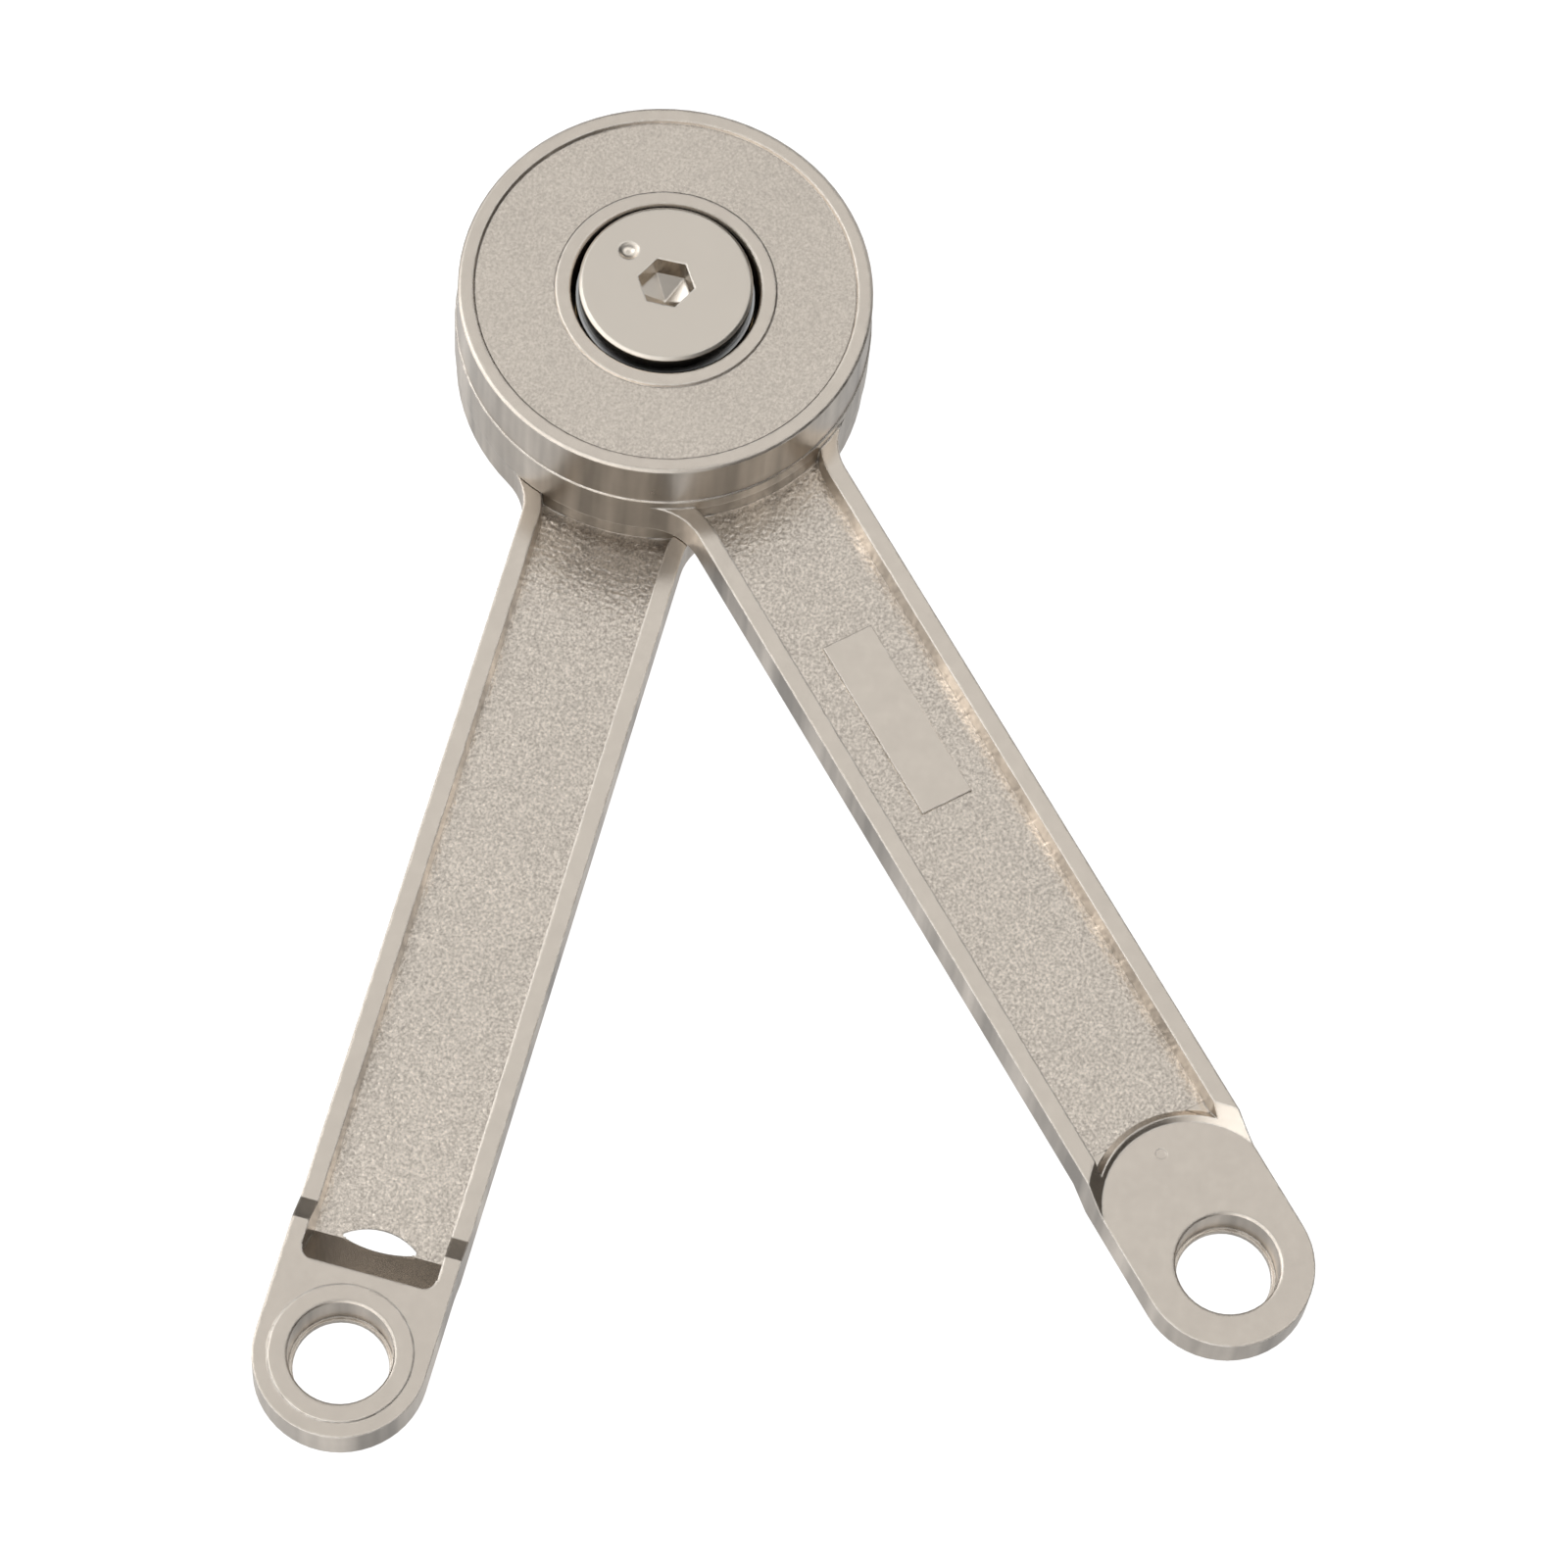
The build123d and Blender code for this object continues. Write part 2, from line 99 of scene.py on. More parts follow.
def new_group(name, inputs, outputs):
    """Shader node group with (name, socket type, default) inputs and (name, socket type) outputs."""
    group = bpy.data.node_groups.new(name, "ShaderNodeTree")
    for label, kind, default in inputs:
        socket = group.interface.new_socket(name=label, in_out="INPUT", socket_type=kind)
        if default is not None:
            socket.default_value = default
    for label, kind in outputs:
        group.interface.new_socket(name=label, in_out="OUTPUT", socket_type=kind)
    return group, group.nodes.new("NodeGroupInput"), group.nodes.new("NodeGroupOutput")


def math_node(tree, operation, first, second=None):
    """Math node; each operand is a socket or a number."""
    node = tree.nodes.new("ShaderNodeMath")
    node.operation = operation
    for socket, value in zip(node.inputs, (first, second)):
        if value is None:
            continue
        if isinstance(value, (int, float)):
            socket.default_value = value
        else:
            tree.links.new(value, socket)
    return node.outputs["Value"]


def noise_node(tree, vector, scale, detail=2.0, roughness=0.5):
    """Noise on the given coordinates; scale is a socket or a number."""
    node = tree.nodes.new("ShaderNodeTexNoise")
    tree.links.new(vector, node.inputs["Vector"])
    if isinstance(scale, (int, float)):
        node.inputs["Scale"].default_value = scale
    else:
        tree.links.new(scale, node.inputs["Scale"])
    node.inputs["Detail"].default_value = detail
    node.inputs["Roughness"].default_value = roughness
    return node.outputs["Fac"]


def map_range(tree, value, low, high, to_low, to_high):
    """Value carried from one range to another, held at its ends."""
    node = tree.nodes.new("ShaderNodeMapRange")
    tree.links.new(value, node.inputs["Value"])
    for label, number in (("From Min", low), ("From Max", high), ("To Min", to_low), ("To Max", to_high)):
        if isinstance(number, (int, float)):
            node.inputs[label].default_value = number
        else:
            tree.links.new(number, node.inputs[label])
    return node.outputs["Result"]


def make_grain_group():
    """Cast or sanded grain: a height for bump and a mask of the peaks."""
    inputs = [("Scale", "NodeSocketFloat", 2200.0), ("Contrast", "NodeSocketFloat", 1.0)]
    outputs = [("Height", "NodeSocketFloat"), ("Peaks", "NodeSocketFloat")]
    group, enter, leave = new_group("CastGrain", inputs, outputs)
    place = group.nodes.new("ShaderNodeTexCoord").outputs["Object"]
    coarse = noise_node(group, place, enter.outputs["Scale"], 3.0, 0.55)
    fine_scale = math_node(group, "MULTIPLY", enter.outputs["Scale"], 2.7)
    fine = noise_node(group, place, fine_scale, 2.0, 0.6)
    mixed = math_node(group, "ADD", coarse, math_node(group, "MULTIPLY", fine, 0.45))
    height = math_node(group, "MULTIPLY", mixed, enter.outputs["Contrast"])
    group.links.new(height, leave.inputs["Height"])
    group.links.new(map_range(group, mixed, 0.72, 0.98, 0.0, 1.0), leave.inputs["Peaks"])
    return group


def make_wear_and_highlight_group():
    """Rubbed edges, partly a painted highlight: where a rounded edge turns away from the flat face, broken up
    by noise.
    """
    inputs = [("Width", "NodeSocketFloat", 0.25 * MM), ("Breakup", "NodeSocketFloat", 900.0)]
    group, enter, leave = new_group("EdgeWearAndHighlight", inputs, [("Mask", "NodeSocketFloat")])
    rounded = group.nodes.new("ShaderNodeBevel")
    rounded.samples = 6
    group.links.new(enter.outputs["Width"], rounded.inputs["Radius"])
    true_normal = group.nodes.new("ShaderNodeNewGeometry").outputs["Normal"]
    dot = group.nodes.new("ShaderNodeVectorMath")
    dot.operation = "DOT_PRODUCT"
    group.links.new(rounded.outputs["Normal"], dot.inputs[0])
    group.links.new(true_normal, dot.inputs[1])
    turned = map_range(group, dot.outputs["Value"], 0.99, 0.80, 0.0, 1.0)
    place = group.nodes.new("ShaderNodeTexCoord").outputs["Object"]
    broken = map_range(group, noise_node(group, place, enter.outputs["Breakup"], 3.0), 0.35, 0.6, 0.25, 1.0)
    group.links.new(math_node(group, "MULTIPLY", turned, broken), leave.inputs["Mask"])
    return group


def make_corner_shade_group():
    """Painted shade: darkens narrow corners by how closed in they are, broken up by noise."""
    group, enter, leave = new_group("PaintedCornerShade", [("Reach", "NodeSocketFloat", 0.5 * MM)],
                                    [("Mask", "NodeSocketFloat")])
    shelter = group.nodes.new("ShaderNodeAmbientOcclusion")
    shelter.samples = 6
    shelter.only_local = True
    group.links.new(enter.outputs["Reach"], shelter.inputs["Distance"])
    place = group.nodes.new("ShaderNodeTexCoord").outputs["Object"]
    closed = map_range(group, shelter.outputs["AO"], 0.80, 0.48, 0.0, 1.0)
    broken = map_range(group, noise_node(group, place, 600.0, 3.0), 0.35, 0.6, 0.45, 1.0)
    group.links.new(math_node(group, "MULTIPLY", closed, broken), leave.inputs["Mask"])
    return group


def make_brush_group():
    """Fine turning lines about a centre: a height that repeats with the radius."""
    inputs = [("Pitch", "NodeSocketFloat", 6000.0), ("Centre", "NodeSocketVector", (0.0, 0.0, 0.0))]
    group, enter, leave = new_group("TurnedLines", inputs, [("Height", "NodeSocketFloat")])
    place = group.nodes.new("ShaderNodeTexCoord").outputs["Object"]
    away = group.nodes.new("ShaderNodeVectorMath")
    away.operation = "SUBTRACT"
    group.links.new(place, away.inputs[0])
    group.links.new(enter.outputs["Centre"], away.inputs[1])
    flat = group.nodes.new("ShaderNodeVectorMath")
    flat.operation = "MULTIPLY"
    flat.inputs[1].default_value = (1.0, 1.0, 0.0)
    group.links.new(away.outputs["Vector"], flat.inputs[0])
    radius = group.nodes.new("ShaderNodeVectorMath")
    radius.operation = "LENGTH"
    group.links.new(flat.outputs["Vector"], radius.inputs[0])
    ruler = group.nodes.new("ShaderNodeCombineXYZ")
    group.links.new(radius.outputs["Value"], ruler.inputs["X"])
    lines = noise_node(group, ruler.outputs["Vector"], enter.outputs["Pitch"], 2.0)
    group.links.new(lines, leave.inputs["Height"])
    return group


def make_tint_group():
    """Slow colour variation: a value about 1 that clouds a surface."""
    inputs = [("Scale", "NodeSocketFloat", 60.0), ("Amount", "NodeSocketFloat", 0.06)]
    group, enter, leave = new_group("Clouding", inputs, [("Value", "NodeSocketFloat")])
    place = group.nodes.new("ShaderNodeTexCoord").outputs["Object"]
    cloud = noise_node(group, place, enter.outputs["Scale"], 3.0)
    centred = math_node(group, "MULTIPLY", math_node(group, "SUBTRACT", cloud, 0.5), enter.outputs["Amount"])
    group.links.new(math_node(group, "ADD", centred, 1.0), leave.inputs["Value"])
    return group


def make_edge_group():
    """Rounded-edge normal whose radius wanders, as plating leaves it on a casting."""
    group, enter, leave = new_group("UnevenEdge", [("Width", "NodeSocketFloat", 0.2 * MM)],
                                    [("Normal", "NodeSocketVector")])
    place = group.nodes.new("ShaderNodeTexCoord").outputs["Object"]
    least = math_node(group, "MULTIPLY", enter.outputs["Width"], 0.6)
    most = math_node(group, "MULTIPLY", enter.outputs["Width"], 1.2)
    rounded = group.nodes.new("ShaderNodeBevel")
    rounded.samples = 4
    wander = map_range(group, noise_node(group, place, 700.0, 3.0, 0.6), 0.35, 0.65, least, most)
    group.links.new(wander, rounded.inputs["Radius"])
    group.links.new(rounded.outputs["Normal"], leave.inputs["Normal"])
    return group


def make_gap_shade_group():
    """Mask of painted shade in the narrow gap round the adjuster, below the head's face."""
    inputs = [("Inner", "NodeSocketFloat", GAP_INNER_RADIUS), ("Outer", "NodeSocketFloat", GAP_OUTER_RADIUS)]
    group, enter, leave = new_group("PaintedGapShade", inputs, [("Mask", "NodeSocketFloat")])
    place = group.nodes.new("ShaderNodeTexCoord").outputs["Object"]
    flat = group.nodes.new("ShaderNodeVectorMath")
    flat.operation = "MULTIPLY"
    flat.inputs[1].default_value = (1.0, 1.0, 0.0)
    group.links.new(place, flat.inputs[0])
    radius = group.nodes.new("ShaderNodeVectorMath")
    radius.operation = "LENGTH"
    group.links.new(flat.outputs["Vector"], radius.inputs[0])
    split = group.nodes.new("ShaderNodeSeparateXYZ")
    group.links.new(place, split.inputs["Vector"])
    outer_end = math_node(group, "ADD", enter.outputs["Outer"], GAP_OUTER_FADE)
    inner_end = math_node(group, "ADD", enter.outputs["Inner"], GAP_INNER_FADE)
    within = map_range(group, radius.outputs["Value"], enter.outputs["Outer"], outer_end, 1.0, 0.0)
    outside = map_range(group, radius.outputs["Value"], enter.outputs["Inner"], inner_end, 0.0, 1.0)
    full, clear = RIM_TOP - GAP_FULL_DEPTH, RIM_TOP - GAP_CLEAR_DEPTH
    below = map_range(group, split.outputs["Z"], full, clear, 1.0, 0.0)
    between = math_node(group, "MULTIPLY", within, outside)
    group.links.new(math_node(group, "MULTIPLY", between, below), leave.inputs["Mask"])
    return group


def make_smudge_group():
    """Handling smudges: a roughness that wanders about the one given."""
    group, enter, leave = new_group("Smudges", [("Roughness", "NodeSocketFloat", 0.2)],
                                    [("Roughness", "NodeSocketFloat")])
    place = group.nodes.new("ShaderNodeTexCoord").outputs["Object"]
    least = math_node(group, "MULTIPLY", enter.outputs["Roughness"], 0.85)
    most = math_node(group, "MULTIPLY", enter.outputs["Roughness"], 1.2)
    wander = map_range(group, noise_node(group, place, 140.0, 4.0, 0.6), 0.3, 0.7, least, most)
    group.links.new(wander, leave.inputs["Roughness"])
    return group


GRAIN = make_grain_group()
WEAR_AND_HIGHLIGHT = make_wear_and_highlight_group()
BRUSH = make_brush_group()
CORNER_SHADE = make_corner_shade_group()
EDGE = make_edge_group()
GAP_SHADE = make_gap_shade_group()
SMUDGE = make_smudge_group()
CLOUD = make_tint_group()


# ---------------------------------------------------------------- materials

def use_group(tree, group, **values):
    """Group node with some of its inputs set."""
    node = tree.nodes.new("ShaderNodeGroup")
    node.node_tree = group
    for label, value in values.items():
        node.inputs[label].default_value = value
    return node


def scaled_colour(tree, colour, factor):
    """Colour times a value socket."""
    node = tree.nodes.new("ShaderNodeVectorMath")
    node.operation = "SCALE"
    node.inputs[0].default_value = colour
    tree.links.new(factor, node.inputs["Scale"])
    return node.outputs["Vector"]


def mixed_colour(tree, factor, first, second):
    """Blend of a colour socket towards a constant colour."""
    node = tree.nodes.new("ShaderNodeMix")
    node.data_type = "RGBA"
    tree.links.new(factor, node.inputs["Factor"])
    tree.links.new(first, node.inputs[6])
    node.inputs[7].default_value = (*second, 1.0)
    return node.outputs[2]


def bump(tree, height, strength, distance, normal=None):
    """Bump node from a height, on top of another normal."""
    node = tree.nodes.new("ShaderNodeBump")
    node.inputs["Strength"].default_value = strength
    node.inputs["Distance"].default_value = distance
    tree.links.new(height, node.inputs["Height"])
    if normal is not None:
        tree.links.new(normal, node.inputs["Normal"])
    return node.outputs["Normal"]


def upright_streaks(tree, place, scale):
    """Noise drawn out along z: upright brushing on walls, fine pitting on flat faces."""
    stretched = tree.nodes.new("ShaderNodeMapping")
    stretched.inputs["Scale"].default_value = (1.0, 1.0, STREAK_STRETCH)
    tree.links.new(place, stretched.inputs["Vector"])
    return noise_node(tree, stretched.outputs["Vector"], scale, 4.0, 0.6)


def wall_mask(tree):
    """One on upright walls, nothing on flat tops."""
    split = tree.nodes.new("ShaderNodeSeparateXYZ")
    tree.links.new(tree.nodes.new("ShaderNodeNewGeometry").outputs["True Normal"], split.inputs["Vector"])
    return map_range(tree, math_node(tree, "ABSOLUTE", split.outputs["Z"]), 0.25, 0.6, 1.0, 0.0)


def metal(name, colour, roughness, grain=None, brush=None, streak=0.0, edge=0.2 * MM,
          worn_and_highlight=(0.80, 0.76, 0.71), cloud=0.05, gap=False, corner_shade_reach=0.0, wall_rough=0.0):
    """Metal with rounded edges made lighter, partly rubbed and partly a painted highlight, clouding and, if
    asked, grain, streaks or turning lines.

    grain is (scale, bump distance, roughness taken off its peaks, share of colour change); brush is
    (pitch, bump distance, centre); streak is the bump distance of the upright brushing. The corner-shade
    reach is how far painted shade darkens a corner, gap adds painted near-black shade round the adjuster, and
    wall_rough is the roughness that upright walls gain, with streaks partly tarnished and partly painted
    reflection."""
    material = bpy.data.materials.new(name)
    material.use_nodes = True
    tree = material.node_tree
    shader = tree.nodes["Principled BSDF"]
    shader.inputs["Metallic"].default_value = 1.0
    clouding = use_group(tree, CLOUD, Amount=cloud).outputs["Value"]
    shade = clouding
    cast = None
    if grain is not None:
        scale, distance, smoother, tint = grain
        cast = use_group(tree, GRAIN, Scale=scale)
        speckle = map_range(tree, cast.outputs["Height"], 0.50, 0.95, 1.0 - tint, 1.0 + tint)
        shade = math_node(tree, "MULTIPLY", shade, speckle)
    place = tree.nodes.new("ShaderNodeTexCoord").outputs["Object"]
    # Upright walls: streaks darker and lighter than the metal, partly tarnished metal and partly painted
    # reflection
    if wall_rough > 0:
        upright = wall_mask(tree)
        tarnish_and_reflection = map_range(tree, upright_streaks(tree, place, 110.0), 0.38, 0.62, 0.56, 1.40)
        off = math_node(tree, "MULTIPLY", upright, math_node(tree, "SUBTRACT", tarnish_and_reflection, 1.0))
        shade = math_node(tree, "MULTIPLY", shade, math_node(tree, "ADD", off, 1.0))
    # Painted shade in narrow corners: the colour darkens by how closed in a corner is
    if corner_shade_reach > 0:
        painted_corner_shade = use_group(tree, CORNER_SHADE, Reach=corner_shade_reach).outputs["Mask"]
        shade = math_node(tree, "MULTIPLY", shade, map_range(tree, painted_corner_shade, 0.0, 1.0, 1.0, CORNER_SHADE_LEFT))
    base = scaled_colour(tree, colour, shade)
    normal = None
    # Rounded edges turn a lighter colour, partly rubbed metal and partly a painted highlight
    if edge > 0:
        wear_and_highlight = use_group(tree, WEAR_AND_HIGHLIGHT, Width=edge).outputs["Mask"]
        base = mixed_colour(tree, wear_and_highlight, base, worn_and_highlight)
        normal = use_group(tree, EDGE, Width=edge).outputs["Normal"]
    # Painted shade: a near-black colour in the deep gap round the adjuster
    if gap:
        base = mixed_colour(tree, use_group(tree, GAP_SHADE).outputs["Mask"], base, GAP_SHADE_COLOUR)
    rough = use_group(tree, SMUDGE, Roughness=roughness).outputs["Roughness"]
    if wall_rough > 0:
        rough = math_node(tree, "ADD", rough, math_node(tree, "MULTIPLY", upright, wall_rough))
    if cast is not None:
        normal = bump(tree, cast.outputs["Height"], 1.0, distance, normal)
        polished = math_node(tree, "MULTIPLY", cast.outputs["Peaks"], smoother)
        rough = math_node(tree, "SUBTRACT", rough, polished)
    if streak > 0:
        normal = bump(tree, upright_streaks(tree, place, 2600.0), 1.0, streak, normal)
    if brush is not None:
        pitch, distance, centre = brush
        lines = use_group(tree, BRUSH, Pitch=pitch, Centre=centre)
        normal = bump(tree, lines.outputs["Height"], 1.0, distance, normal)
    tree.links.new(base, shader.inputs["Base Color"])
    tree.links.new(rough, shader.inputs["Roughness"])
    tree.links.new(normal, shader.inputs["Normal"])
    return material


def dull(name, colour, roughness, grain_scale, distance):
    """Non-metal with a grain: friction lining or nylon."""
    material = bpy.data.materials.new(name)
    material.use_nodes = True
    tree = material.node_tree
    shader = tree.nodes["Principled BSDF"]
    cast = use_group(tree, GRAIN, Scale=grain_scale)
    clouding = use_group(tree, CLOUD, Scale=200.0, Amount=0.3).outputs["Value"]
    tree.links.new(scaled_colour(tree, colour, clouding), shader.inputs["Base Color"])
    rough = map_range(tree, cast.outputs["Peaks"], 0.0, 1.0, roughness, roughness - 0.12)
    tree.links.new(rough, shader.inputs["Roughness"])
    tree.links.new(bump(tree, cast.outputs["Height"], 1.0, distance), shader.inputs["Normal"])
    return material


# Near-black colour of the painted shade in the gap round the adjuster
GAP_SHADE_COLOUR = (0.012, 0.010, 0.009)
# Share of the colour left where the painted corner shade is deepest
CORNER_SHADE_LEFT = 0.12
NICKEL = (0.60, 0.545, 0.485)
SMOOTH = metal("nickel_smooth", NICKEL, 0.20, grain=(420.0, 0.006 * MM, 0.02, 0.03), streak=0.003 * MM,
               edge=0.36 * MM, gap=True, corner_shade_reach=0.30 * MM, wall_rough=0.11)
SAND = metal("nickel_sand", NICKEL, 0.21, grain=(3400.0, 0.026 * MM, 0.05, 0.38), edge=0.0, cloud=0.08,
             corner_shade_reach=0.35 * MM)
TURNED = metal("nickel_turned", (0.62, 0.57, 0.51), 0.22, brush=(9000.0, 0.002 * MM, (0.0, 0.0, 0.0)),
               edge=0.32 * MM, gap=True)
STEEL = metal("steel", (0.50, 0.51, 0.52), 0.30, brush=(7000.0, 0.004 * MM, (0.0, 0.0, 0.0)), edge=0.1 * MM)
SPRING = metal("spring_steel", (0.16, 0.165, 0.18), 0.34, grain=(1500.0, 0.004 * MM, 0.05, 0.05),
               edge=0.08 * MM, worn_and_highlight=(0.42, 0.42, 0.43))
BRONZE = metal("bronze", (0.60, 0.40, 0.20), 0.32, brush=(6000.0, 0.004 * MM, (0.0, 0.0, 0.0)), edge=0.1 * MM,
               worn_and_highlight=(0.78, 0.60, 0.36))
SAND_FINE = metal("nickel_sand_fine", NICKEL, 0.23, grain=(3800.0, 0.018 * MM, 0.04, 0.18), edge=0.0,
                  corner_shade_reach=0.35 * MM)
LINING = dull("lining", (0.060, 0.043, 0.032), 0.85, 1800.0, 0.04 * MM)
NYLON = dull("nylon", (0.03, 0.09, 0.33), 0.50, 900.0, 0.01 * MM)

CAD_MATERIALS = {
    "nickel_casting": SMOOTH, "nickel_turned": TURNED, "steel": STEEL, "spring_steel": SPRING,
    "bronze": BRONZE, "lining": LINING, "nylon": NYLON,
}


def dress_cad_nodes():
    """Gives every CAD node the material of its slot."""
    for part in frame["record"]["subparts"]:
        node = NODES[part["node"]]
        node.data.materials.clear()
        node.data.materials.append(CAD_MATERIALS[part["material_slot"]])


# ---------------------------------------------------------------- sanded floors, with real relief

GRAIN_STEP = 0.17 * MM
GRAIN_SIZE = 0.36 * MM
GRAIN_RELIEF = 0.028 * MM
HEAD_RELIEF = 0.018 * MM
FLOOR_LIFT = 0.045 * MM
FINE_GRAIN = 2.3
FINE_GRAIN_SHIFT = 7.0
COARSE_SHARE = 1.25
FINE_SHARE = 0.55
LOWER_FLOOR_SEED = 1.0
UPPER_FLOOR_SEED = 2.0
HEAD_FLOOR_SEED = 3.0
UNDER_WALL = 0.05 * MM
UNDER_DRUM = 0.6 * MM
LOWER_FLOOR_END = PIVOT_TO_EYE - 12.2 * MM
UPPER_FLOOR_END = PIVOT_TO_EYE - 15.6 * MM


def sand_height(x, y, seed):
    """Height of the cast sand texture at a place, between -1 and 1."""
    place = Vector((x / GRAIN_SIZE, y / GRAIN_SIZE, seed))
    fine = Vector((x / GRAIN_SIZE * FINE_GRAIN, y / GRAIN_SIZE * FINE_GRAIN, seed + FINE_GRAIN_SHIFT))
    return max(-1.0, min(1.0, COARSE_SHARE * noise.noise(place) + FINE_SHARE * noise.noise(fine)))


def mesh_piece(name, vertices, faces, material, body, smooth=True):
    """Finished mesh that takes its finish from a slot, and rides on a body unless that is None."""
    mesh = bpy.data.meshes.new(name)
    mesh.from_pydata(vertices, [], faces)
    mesh.validate()
    mesh.materials.append(material)
    if smooth:
        mesh.shade_smooth()
    piece = bpy.data.objects.new(name, mesh)
    bpy.context.scene.collection.objects.link(piece)
    if body is not None:
        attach(piece, body)
    return piece


def in_lens_slot(u, v):
    """True inside the lens-shaped opening before the lower arm's eye."""
    if abs(v) > SLOT_HALF_WIDTH:
        return False
    bow = 1.0 - (v / SLOT_HALF_WIDTH) ** 2
    head_side = SLOT_HEAD + SLOT_HEAD_SAG * (1.0 - bow)
    eye_side = SLOT_EYE - SLOT_EYE_SAG * (1.0 - bow)
    return head_side < u < eye_side


def pocket_floor(name, body, start, end, half, level, angle, seed, hole=None):
    """Sanded floor between an arm's rails, its edges run into the walls around it."""
    columns = int((end - start) / GRAIN_STEP) + 1
    rows = int(2 * half / GRAIN_STEP) + 1
    vertices = []
    for i in range(columns + 1):
        u = start + (end - start) * i / columns
        for j in range(rows + 1):
            v = -half + 2 * half * j / rows
            x = u * cos(angle) - v * sin(angle)
            y = u * sin(angle) + v * cos(angle)
            vertices.append((x, y, level + FLOOR_LIFT + GRAIN_RELIEF * sand_height(u, v, seed)))
    faces = []
    for i in range(columns):
        u = start + (end - start) * (i + 0.5) / columns
        for j in range(rows):
            v = -half + 2 * half * (j + 0.5) / rows
            if hole is not None and hole(u, v):
                continue
            first = i * (rows + 1) + j
            faces.append((first, first + rows + 1, first + rows + 2, first + 1))
    return mesh_piece(name, vertices, faces, SAND, body)


def head_floor():
    """Sanded ring between the rim and the boss in the head's face."""
    rings = int((FACE_OUTER_RADIUS - FACE_INNER_RADIUS) / GRAIN_STEP) + 1
    spokes = int(2 * pi * FACE_OUTER_RADIUS / GRAIN_STEP)
    level = RIM_TOP - FACE_DEPTH
    vertices = []
    for i in range(rings + 1):
        radius = FACE_INNER_RADIUS + (FACE_OUTER_RADIUS - FACE_INNER_RADIUS) * i / rings
        for j in range(spokes):
            turn = 2 * pi * j / spokes
            x, y = radius * cos(turn), radius * sin(turn)
            lift = FLOOR_LIFT + HEAD_RELIEF * sand_height(x, y, HEAD_FLOOR_SEED)
            vertices.append((x, y, level + lift))
    faces = []
    for i in range(rings):
        for j in range(spokes):
            after = (j + 1) % spokes
            faces.append((i * spokes + j, (i + 1) * spokes + j, (i + 1) * spokes + after, i * spokes + after))
    return mesh_piece("head_face_floor", vertices, faces, SAND_FINE, "upper_arm_body")


def make_floors():
    """The three sanded floors of the two castings."""
    half = ARM_HALF_WIDTH - RAIL_WIDTH + UNDER_WALL
    start = DRUM_RADIUS - UNDER_DRUM
    pocket_floor("lower_pocket_floor", "lower_arm_body", start, LOWER_FLOOR_END, half,
                 WEB_THICKNESS, 0.0, LOWER_FLOOR_SEED, in_lens_slot)
    pocket_floor("upper_pocket_floor", "upper_arm_body", start, UPPER_FLOOR_END, half,
                 UPPER_BASE + WEB_THICKNESS, ARM_ANGLE, UPPER_FLOOR_SEED)
    head_floor()


# ---------------------------------------------------------------- springs between the hub's washer and the seat

SPRING_COUNT = 4
SPRING_INNER = 6.3 * MM
SPRING_OUTER = 8.8 * MM
SPRING_SHEET = 0.3 * MM
SPRING_CONE = 0.2 * MM
SPRING_SIDES = 96


def spring_profile(low, cone_up):
    """Corners of one spring's section as (radius, height), from the inner edge round to it again."""
    inner = low + (SPRING_CONE if cone_up else 0.0)
    outer = low + (0.0 if cone_up else SPRING_CONE)
    return [(SPRING_INNER, inner), (SPRING_OUTER, outer), (SPRING_OUTER, outer + SPRING_SHEET),
            (SPRING_INNER, inner + SPRING_SHEET)]


def make_springs():
    """Disc springs held between the hub's washer and the seat, spaced to fill the room between them when the
    scene is built.
    """
    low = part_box("thrust_washer")[1].z
    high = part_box("spring_seat")[0].z
    pitch = (high - low) / SPRING_COUNT
    for number in range(SPRING_COUNT):
        profile = spring_profile(low + number * pitch, number % 2 == 0)
        corners = len(profile)
        vertices = []
        for side in range(SPRING_SIDES):
            turn = 2 * pi * side / SPRING_SIDES
            vertices += [(radius * cos(turn), radius * sin(turn), height) for radius, height in profile]
        faces = []
        for side in range(SPRING_SIDES):
            here = side * corners
            there = (side + 1) % SPRING_SIDES * corners
            for k in range(corners):
                after = (k + 1) % corners
                faces.append((here + k, there + k, there + after, here + after))
        piece = mesh_piece(f"spring_shown_{number + 1}", vertices, faces, SPRING, None, False)
        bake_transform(piece)
        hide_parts(f"disc_spring_{number + 1}")


# ---------------------------------------------------------------- stage, light and camera

FLOOR_SEEN = 1.0
FLOOR_MIRRORED = 0.46
FLOOR_LEVEL = -0.05 * MM
FLOOR_HALF = 3.0
FLOOR_GREY = 0.20


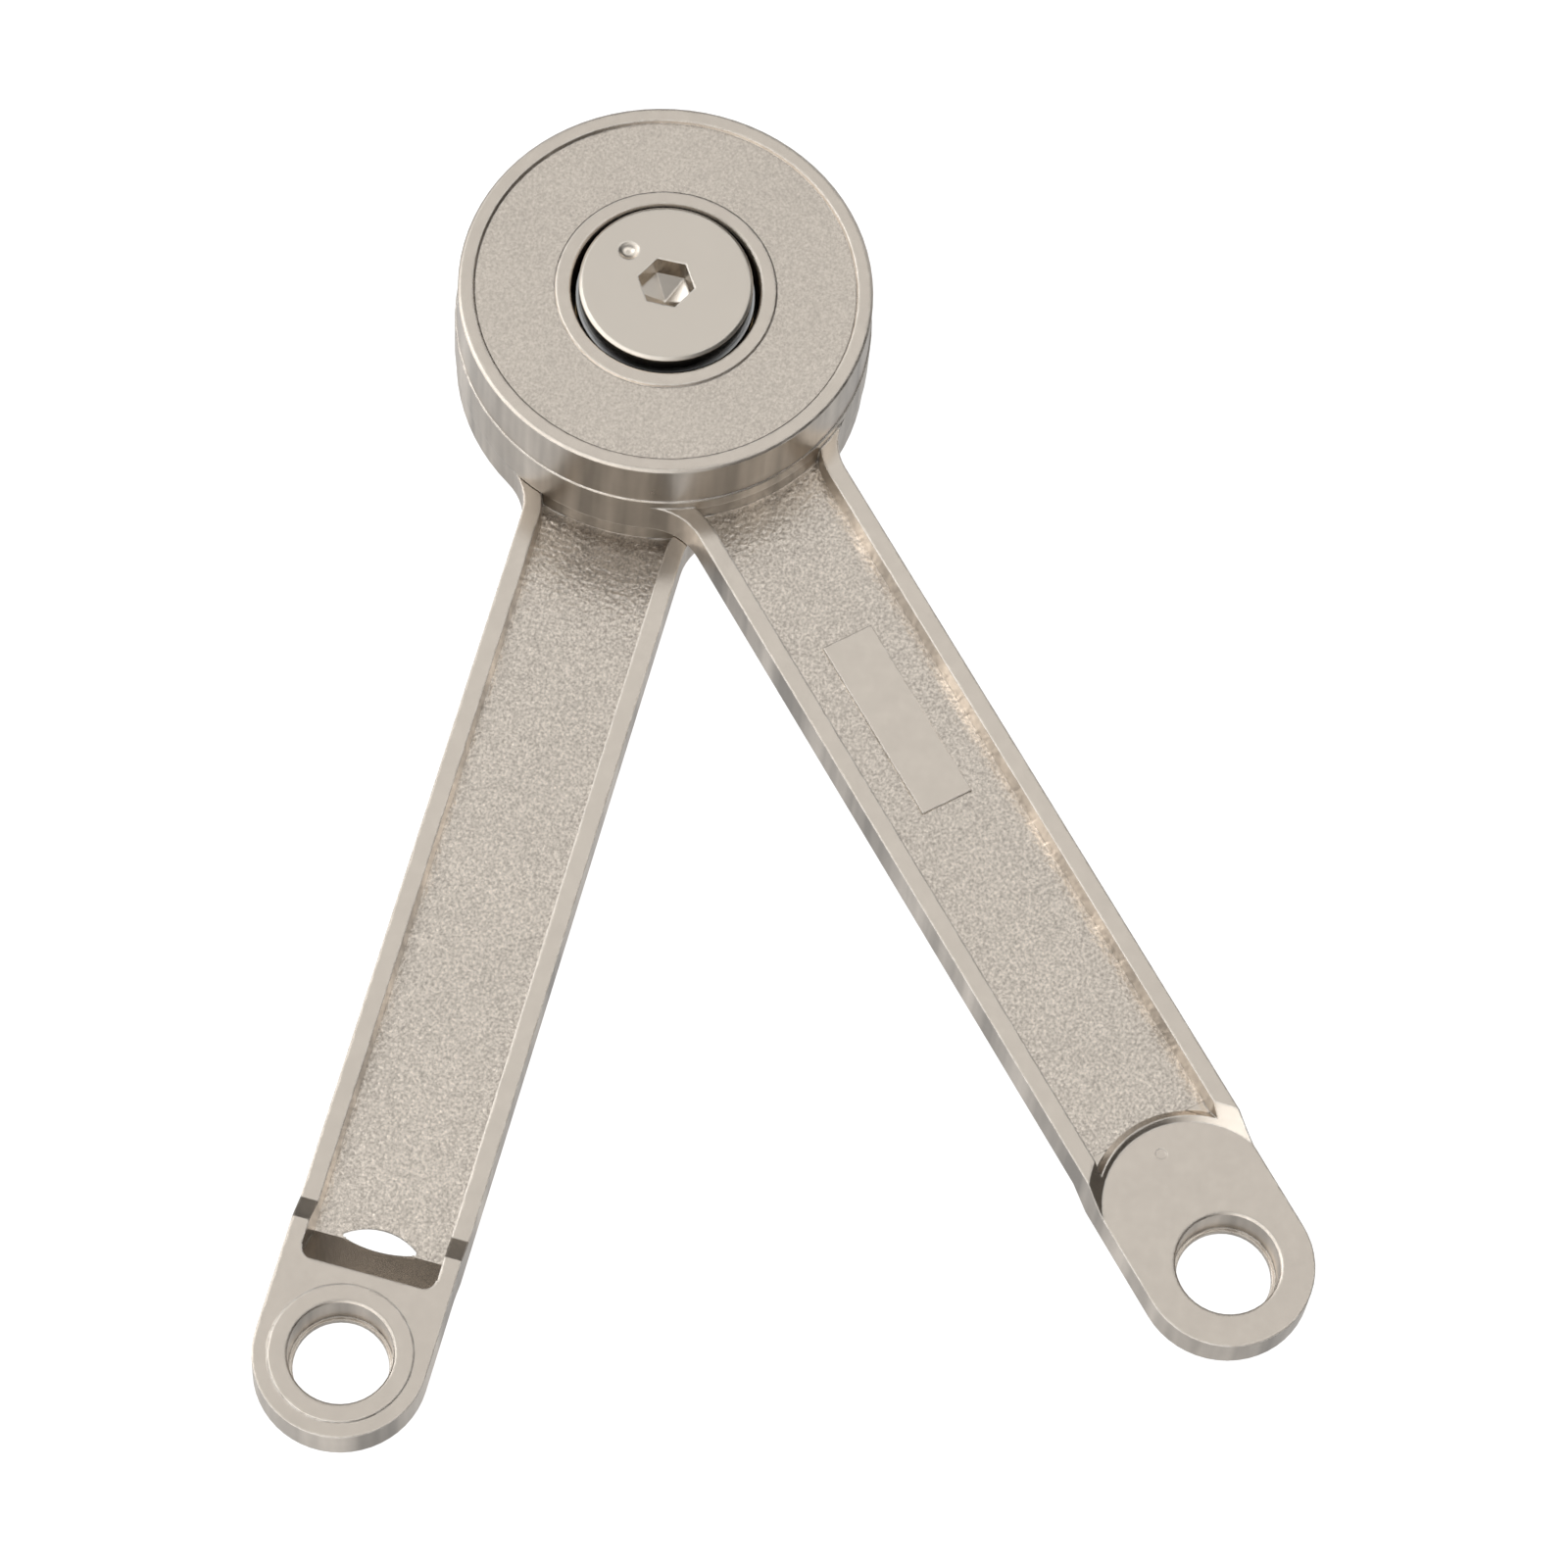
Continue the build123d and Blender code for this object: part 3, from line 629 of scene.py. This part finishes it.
def make_floor():
    """Pale plain floor under the hinge: an even white to the lens, a greyer table in reflections, and
    clear from below so that the underside can be seen."""
    mesh = bpy.data.meshes.new("floor")
    corners = [(x * FLOOR_HALF, y * FLOOR_HALF, FLOOR_LEVEL) for x, y in ((-1, -1), (1, -1), (1, 1), (-1, 1))]
    mesh.from_pydata(corners, [], [(0, 1, 2, 3)])
    floor = bpy.data.objects.new("floor", mesh)
    bpy.context.scene.collection.objects.link(floor)
    material = bpy.data.materials.new("floor")
    material.use_nodes = True
    tree = material.node_tree
    shader = tree.nodes["Principled BSDF"]
    shader.inputs["Base Color"].default_value = (FLOOR_GREY, FLOOR_GREY, FLOOR_GREY, 1.0)
    shader.inputs["Emission Color"].default_value = (1.0, 1.0, 1.0, 1.0)
    seen = tree.nodes.new("ShaderNodeLightPath").outputs["Is Camera Ray"]
    glow = map_range(tree, seen, 0.0, 1.0, FLOOR_MIRRORED, FLOOR_SEEN)
    tree.links.new(glow, shader.inputs["Emission Strength"])
    sides = tree.nodes.new("ShaderNodeMixShader")
    behind = tree.nodes.new("ShaderNodeNewGeometry").outputs["Backfacing"]
    tree.links.new(behind, sides.inputs[0])
    tree.links.new(shader.outputs["BSDF"], sides.inputs[1])
    tree.links.new(tree.nodes.new("ShaderNodeBsdfTransparent").outputs["BSDF"], sides.inputs[2])
    tree.links.new(sides.outputs["Shader"], tree.nodes["Material Output"].inputs["Surface"])
    shader.inputs["Roughness"].default_value = 0.9
    shader.inputs["Specular IOR Level"].default_value = 0.1
    mesh.materials.append(material)


SKY_STRENGTH = 1.0
SKY_DARK_SIDE = 0.10
SKY_DARK_TOWARDS = (-0.5, 0.8, 0.0)
SKY_BRIGHT_SIDE = 1.9
SKY_SIDE_FADE = (-0.55, 0.22)
SKY_OVERHEAD_FADE = (0.34, 0.80)
SKY_RINGS = ((0.0, 1.0), (0.50, 0.9), (0.58, 0.30), (0.71, 0.30), (0.80, 1.3), (0.935, 1.75), (0.972, 0.40),
             (0.992, 1.0), (1.0, 1.0))


def make_sky():
    """Studio surroundings, by the cosine of the angle from what flat tops reflect: an even panel, a gap
    and a bright panel that catch the grain, and a dark patch where the camera stands. The sides are
    dark towards one corner, between -X and +Y, and bright away from it."""
    world = bpy.data.worlds.new("studio")
    bpy.context.scene.world = world
    world.use_nodes = True
    tree = world.node_tree
    direction = tree.nodes.new("ShaderNodeTexCoord").outputs["Generated"]
    split = tree.nodes.new("ShaderNodeSeparateXYZ")
    tree.links.new(direction, split.inputs["Vector"])
    view = (CAMERA_TARGET - CAMERA_PLACE).normalized()
    dot = tree.nodes.new("ShaderNodeVectorMath")
    dot.operation = "DOT_PRODUCT"
    dot.inputs[1].default_value = (view.x, view.y, -view.z)
    tree.links.new(direction, dot.inputs[0])
    ramp = tree.nodes.new("ShaderNodeValToRGB")
    stops = ramp.color_ramp.elements
    while len(stops) < len(SKY_RINGS):
        stops.new(0.5)
    for stop, (position, value) in zip(stops, SKY_RINGS):
        stop.position = position
        stop.color = (value / 2, value / 2, value / 2, 1.0)
    tree.links.new(dot.outputs["Value"], ramp.inputs["Fac"])
    overhead = math_node(tree, "MULTIPLY", ramp.outputs["Color"], 2.0)
    towards_dark = tree.nodes.new("ShaderNodeVectorMath")
    towards_dark.operation = "DOT_PRODUCT"
    towards_dark.inputs[1].default_value = SKY_DARK_TOWARDS
    tree.links.new(direction, towards_dark.inputs[0])
    side = map_range(tree, towards_dark.outputs["Value"], *SKY_SIDE_FADE, SKY_BRIGHT_SIDE, SKY_DARK_SIDE)
    height = map_range(tree, split.outputs["Z"], *SKY_OVERHEAD_FADE, 0.0, 1.0)
    low = math_node(tree, "MULTIPLY", side, math_node(tree, "SUBTRACT", 1.0, height))
    total = math_node(tree, "ADD", low, math_node(tree, "MULTIPLY", overhead, height))
    background = tree.nodes["Background"]
    tree.links.new(scaled_colour(tree, (1.0, 0.995, 0.98), total), background.inputs["Color"])
    background.inputs["Strength"].default_value = SKY_STRENGTH


KEY_PLACE = (-0.1, -0.5, 0.7)
KEY_TARGET = (0.05, 0.02, 0.0)
KEY_SIZE = 0.35
KEY_POWER = 0.8


def area_light(name, place, target, size, power, colour=(1.0, 1.0, 1.0)):
    """Soft square lamp aimed at a point."""
    data = bpy.data.lights.new(name, "AREA")
    data.size = size
    data.energy = power
    data.color = colour
    lamp = bpy.data.objects.new(name, data)
    bpy.context.scene.collection.objects.link(lamp)
    lamp.location = place
    lamp.rotation_euler = (Vector(target) - Vector(place)).to_track_quat("-Z", "Y").to_euler()


def make_camera():
    """Long lens that looks down on the hinge."""
    data = bpy.data.cameras.new("camera")
    data.lens = LENS
    data.sensor_width = 36.0
    data.clip_start = 0.01
    camera = bpy.data.objects.new("camera", data)
    bpy.context.scene.collection.objects.link(camera)
    forward = (CAMERA_TARGET - CAMERA_PLACE).normalized()
    right = forward.cross(Vector((0.0, 0.0, 1.0))).normalized()
    down = forward.cross(right)
    across = right * cos(CAMERA_ROLL) + down * sin(CAMERA_ROLL)
    lower = down * cos(CAMERA_ROLL) - right * sin(CAMERA_ROLL)
    turn = Matrix((across, -lower, -forward)).transposed().to_4x4()
    camera.matrix_world = Matrix.Translation(CAMERA_PLACE) @ turn
    bpy.context.scene.camera = camera


bpy.context.scene.view_settings.view_transform = "Standard"
make_camera()
make_floor()
make_sky()
area_light("key", KEY_PLACE, KEY_TARGET, KEY_SIZE, KEY_POWER)
dress_cad_nodes()
make_floors()
make_springs()
